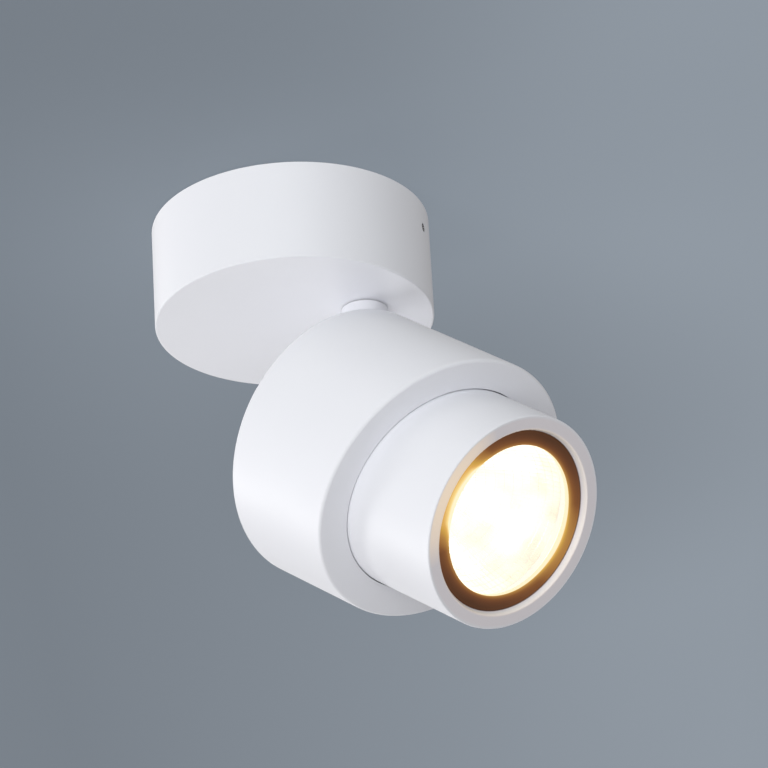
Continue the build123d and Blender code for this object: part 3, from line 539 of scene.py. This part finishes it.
inside, outside = [], []
for row in range(FACET_ROWS + 1):
    share = row / FACET_ROWS
    height = REFLECTOR_REAR + (LEDGE_REAR - REFLECTOR_REAR) * share
    inside.append((bowl_radius(share), height))
    outside.append((bowl_radius(share) + reflector_wall, height - rim_thickness * share))
rim = [(rim_radius, LEDGE_REAR), (rim_radius, LEDGE_REAR - rim_thickness)]
reflector_bm = turned(inside + rim + outside[::-1], FACET_COLUMNS)
bmesh.ops.remove_doubles(reflector_bm, verts=reflector_bm.verts, dist=1e-6)
bmesh.ops.recalc_face_normals(reflector_bm, faces=reflector_bm.faces)
facets = []
for face in reflector_bm.faces:
    middle = face.calc_center_median()
    share = (middle.z - REFLECTOR_REAR) / (LEDGE_REAR - REFLECTOR_REAR)
    if 0.01 < share < 0.99 and middle.xy.length < bowl_radius(share) + reflector_wall / 4:
        facets.append(face)
borders = bmesh.ops.inset_individual(reflector_bm, faces=facets, thickness=facet_border,
                                     depth=facet_depth)
for face in borders["faces"]:
    face.material_index = 1
finished(reflector_bm, "reflector_bowl", "barrel", "reflector",
         [materials["bright_reflector"], facet_edge])

# ---- Finishes of the CAD nodes --------------------------------------------------------------
for entry in frame["record"]["subparts"]:
    for held in nodes[entry["node"]].material_slots:
        held.link = "OBJECT"
        held.material = own_finish_and_painted_light.get(entry["node"], materials[entry["material_slot"]])

# ---- Camera at the photograph's angle -------------------------------------------------------
CAMERA_PLACE = Vector((-1.51600, -0.47924, -0.86170))
CAMERA_ROLL = radians(-3.338)
look = Vector((0.85736, 0.25298, 0.44826)).normalized()
level = look.cross(up).normalized()
above = level.cross(look)
camera_x = level * cos(CAMERA_ROLL) + above * sin(CAMERA_ROLL)
camera_y = above * cos(CAMERA_ROLL) - level * sin(CAMERA_ROLL)
camera = bpy.data.objects.new("camera", bpy.data.cameras.new("camera"))
camera.matrix_world = (Matrix.Translation(CAMERA_PLACE)
                       @ Matrix((camera_x, camera_y, -look)).transposed().to_4x4())
camera.data.lens = 234.375
camera.data.sensor_width = 36.0
camera.data.clip_end = 50.0
bpy.context.scene.collection.objects.link(camera)
bpy.context.scene.camera = camera
bpy.context.scene.view_settings.view_transform = "Standard"

# ---- Stage: a ceiling with painted light and shade, an even sky and soft lamps --------------
CEILING_SIZE = 8.0
CEILING_GAP = 0.0006
# Painted light on the ceiling: an emitted wash, lighter sideways, and soft patches of painted light
# and shade
CEILING_SPAN = (-0.117, 0.178)      # from the darker end of the wash to the lighter one, sideways
CEILING_WASH = [(0.0, (0.141, 0.165, 0.195)), (1.0, (0.238, 0.273, 0.316))]
CEILING_LEVEL = 0.952
PAINTED_CEILING_PATCHES = [                 # soft light and shade: place, size and how much lighter
    (0.080, 0.189, 0.145, 0.198, -0.228),
    (-0.037, -0.094, 0.168, 0.348, 0.222),
    (-0.033, -0.144, 0.170, 0.183, -0.300),
    (0.118, 0.066, 0.101, 0.589, 0.097),
]

ceiling_bm = bmesh.new()
bmesh.ops.create_grid(ceiling_bm, x_segments=1, y_segments=1, size=CEILING_SIZE / 2)
bmesh.ops.reverse_faces(ceiling_bm, faces=ceiling_bm.faces)
bmesh.ops.translate(ceiling_bm, verts=ceiling_bm.verts, vec=(0, 0, CEILING_GAP))
ceiling_mesh = bpy.data.meshes.new("ceiling")
ceiling_bm.to_mesh(ceiling_mesh)
ceiling_bm.free()
ceiling = bpy.data.objects.new("ceiling", ceiling_mesh)
bpy.context.scene.collection.objects.link(ceiling)

# The ceiling's material carries its painted light as emission
paint = bpy.data.materials.new("ceiling with painted light")
paint.use_nodes = True
paint_tree = paint.node_tree
paint_shader = paint_tree.nodes["Principled BSDF"]
paint_shader.inputs["Base Color"].default_value = (0.054, 0.061, 0.068, 1)
paint_shader.inputs["Roughness"].default_value = 0.8
paint_shader.inputs["Specular IOR Level"].default_value = 0.1
paint_place = node(paint_tree, "TexCoord").outputs["Object"]
along = node(paint_tree, "VectorMath", operation="DOT_PRODUCT")
along.inputs[1].default_value = level
wash = node(paint_tree, "MapRange")
wash.inputs["From Min"].default_value, wash.inputs["From Max"].default_value = CEILING_SPAN
paint_tree.links.new(paint_place, along.inputs[0])
paint_tree.links.new(along.outputs["Value"], wash.inputs["Value"])
paint_tree.links.new(ramp(paint_tree, wash.outputs["Result"], CEILING_WASH),
                     paint_shader.inputs["Emission Color"])


def painted_ceiling_patch(sideways, away, width, depth, share):
    """A soft patch of painted light or shade on the ceiling, lighter or darker by a share."""
    patch = node(paint_tree, "Mapping", vector_type="TEXTURE", Scale=(width, depth, 1))
    patch.inputs["Location"].default_value = level * sideways + up.cross(level) * away
    patch.inputs["Rotation"].default_value = (0, 0, atan2(level.y, level.x))
    reach = node(paint_tree, "VectorMath", operation="LENGTH")
    fade = node(paint_tree, "MapRange", interpolation_type="SMOOTHSTEP")
    fade.inputs["To Min"].default_value = share
    fade.inputs["To Max"].default_value = 0.0
    paint_tree.links.new(paint_place, patch.inputs["Vector"])
    paint_tree.links.new(patch.outputs["Vector"], reach.inputs[0])
    paint_tree.links.new(reach.outputs["Value"], fade.inputs["Value"])
    return fade.outputs["Result"]


painted_light_and_shade = painted_ceiling_patch(*PAINTED_CEILING_PATCHES[0])
for settings in PAINTED_CEILING_PATCHES[1:]:
    painted_light_and_shade = joined(paint_tree, "ADD", painted_light_and_shade, painted_ceiling_patch(*settings))
lifted = node(paint_tree, "Math", operation="ADD")
lifted.inputs[1].default_value = CEILING_LEVEL
paint_tree.links.new(painted_light_and_shade, lifted.inputs[0])
paint_tree.links.new(lifted.outputs[0], paint_shader.inputs["Emission Strength"])

# Only the camera sees the ceiling, and only from below
from_below = node(paint_tree, "Math", operation="SUBTRACT")
from_below.inputs[0].default_value = 1.0
paint_tree.links.new(node(paint_tree, "NewGeometry").outputs["Backfacing"], from_below.inputs[1])
paint_seen = joined(paint_tree, "MULTIPLY", from_below.outputs[0],
                    node(paint_tree, "LightPath").outputs["Is Camera Ray"])
paint_mix = node(paint_tree, "MixShader")
paint_tree.links.new(paint_seen, paint_mix.inputs["Fac"])
paint_tree.links.new(node(paint_tree, "BsdfTransparent").outputs["BSDF"], paint_mix.inputs[1])
paint_tree.links.new(paint_shader.outputs["BSDF"], paint_mix.inputs[2])
paint_tree.links.new(paint_mix.outputs["Shader"],
                     paint_tree.nodes["Material Output"].inputs["Surface"])
ceiling_mesh.materials.append(paint)

# An even sky for the light, and a plain backdrop for the camera
world = bpy.data.worlds.new("sky")
bpy.context.scene.world = world
world.use_nodes = True
sky = world.node_tree
ambient = sky.nodes["Background"]
ambient.inputs["Color"].default_value = (1.0, 0.985, 0.98, 1)
ambient.inputs["Strength"].default_value = 0.395
backdrop = node(sky, "Background")
backdrop.inputs["Color"].default_value = (0.235, 0.270, 0.310, 1)
backdrop.inputs["Strength"].default_value = 1.0
sky_mix = node(sky, "MixShader")
sky.links.new(node(sky, "LightPath").outputs["Is Camera Ray"], sky_mix.inputs["Fac"])
sky.links.new(ambient.outputs["Background"], sky_mix.inputs[1])
sky.links.new(backdrop.outputs["Background"], sky_mix.inputs[2])
sky.links.new(sky_mix.outputs["Shader"], sky.nodes["World Output"].inputs["Surface"])


def lamp(name, direction, distance, size, power, colour=(1, 1, 1)):
    """A square soft lamp that shines at the light from a direction."""
    aim = Vector((0, -0.03, -0.08))
    place = aim + Vector(direction).normalized() * distance
    data = bpy.data.lights.new(name, "AREA")
    data.shape = "SQUARE"
    data.size = size
    data.energy = power
    data.color = colour
    made = bpy.data.objects.new(name, data)
    made.matrix_world = (Matrix.Translation(place)
                         @ (place - aim).to_track_quat("Z", "Y").to_matrix().to_4x4())
    bpy.context.scene.collection.objects.link(made)


left = -camera_x
forward = -look
lamp("front lamp", forward + camera_y * 0.1, 1.9, 0.9, 7.7)
lamp("upper lamp", forward * 0.7 + camera_y * 0.7, 1.9, 0.9, 5.6, (0.90, 0.98, 1.0))
lamp("left front lamp", forward * 0.8 + left * 0.6, 1.9, 0.6, 9.8)
lamp("left lamp", left * 0.9 - camera_y * 0.35 - forward * 0.3, 1.6, 0.35, 4.7)
lamp("left rear lamp", left * 0.8 - forward * 0.6, 1.6, 0.35, 2.9)
lamp("high left lamp", left * 0.6 + camera_y * 0.8, 1.6, 0.9, 3.4)
lamp("low left lamp", left * 0.6 - camera_y * 0.8, 1.6, 0.9, 4.8)
lamp("low rear lamp", forward * -0.7 - camera_y * 0.6, 1.6, 0.9, 4.2)
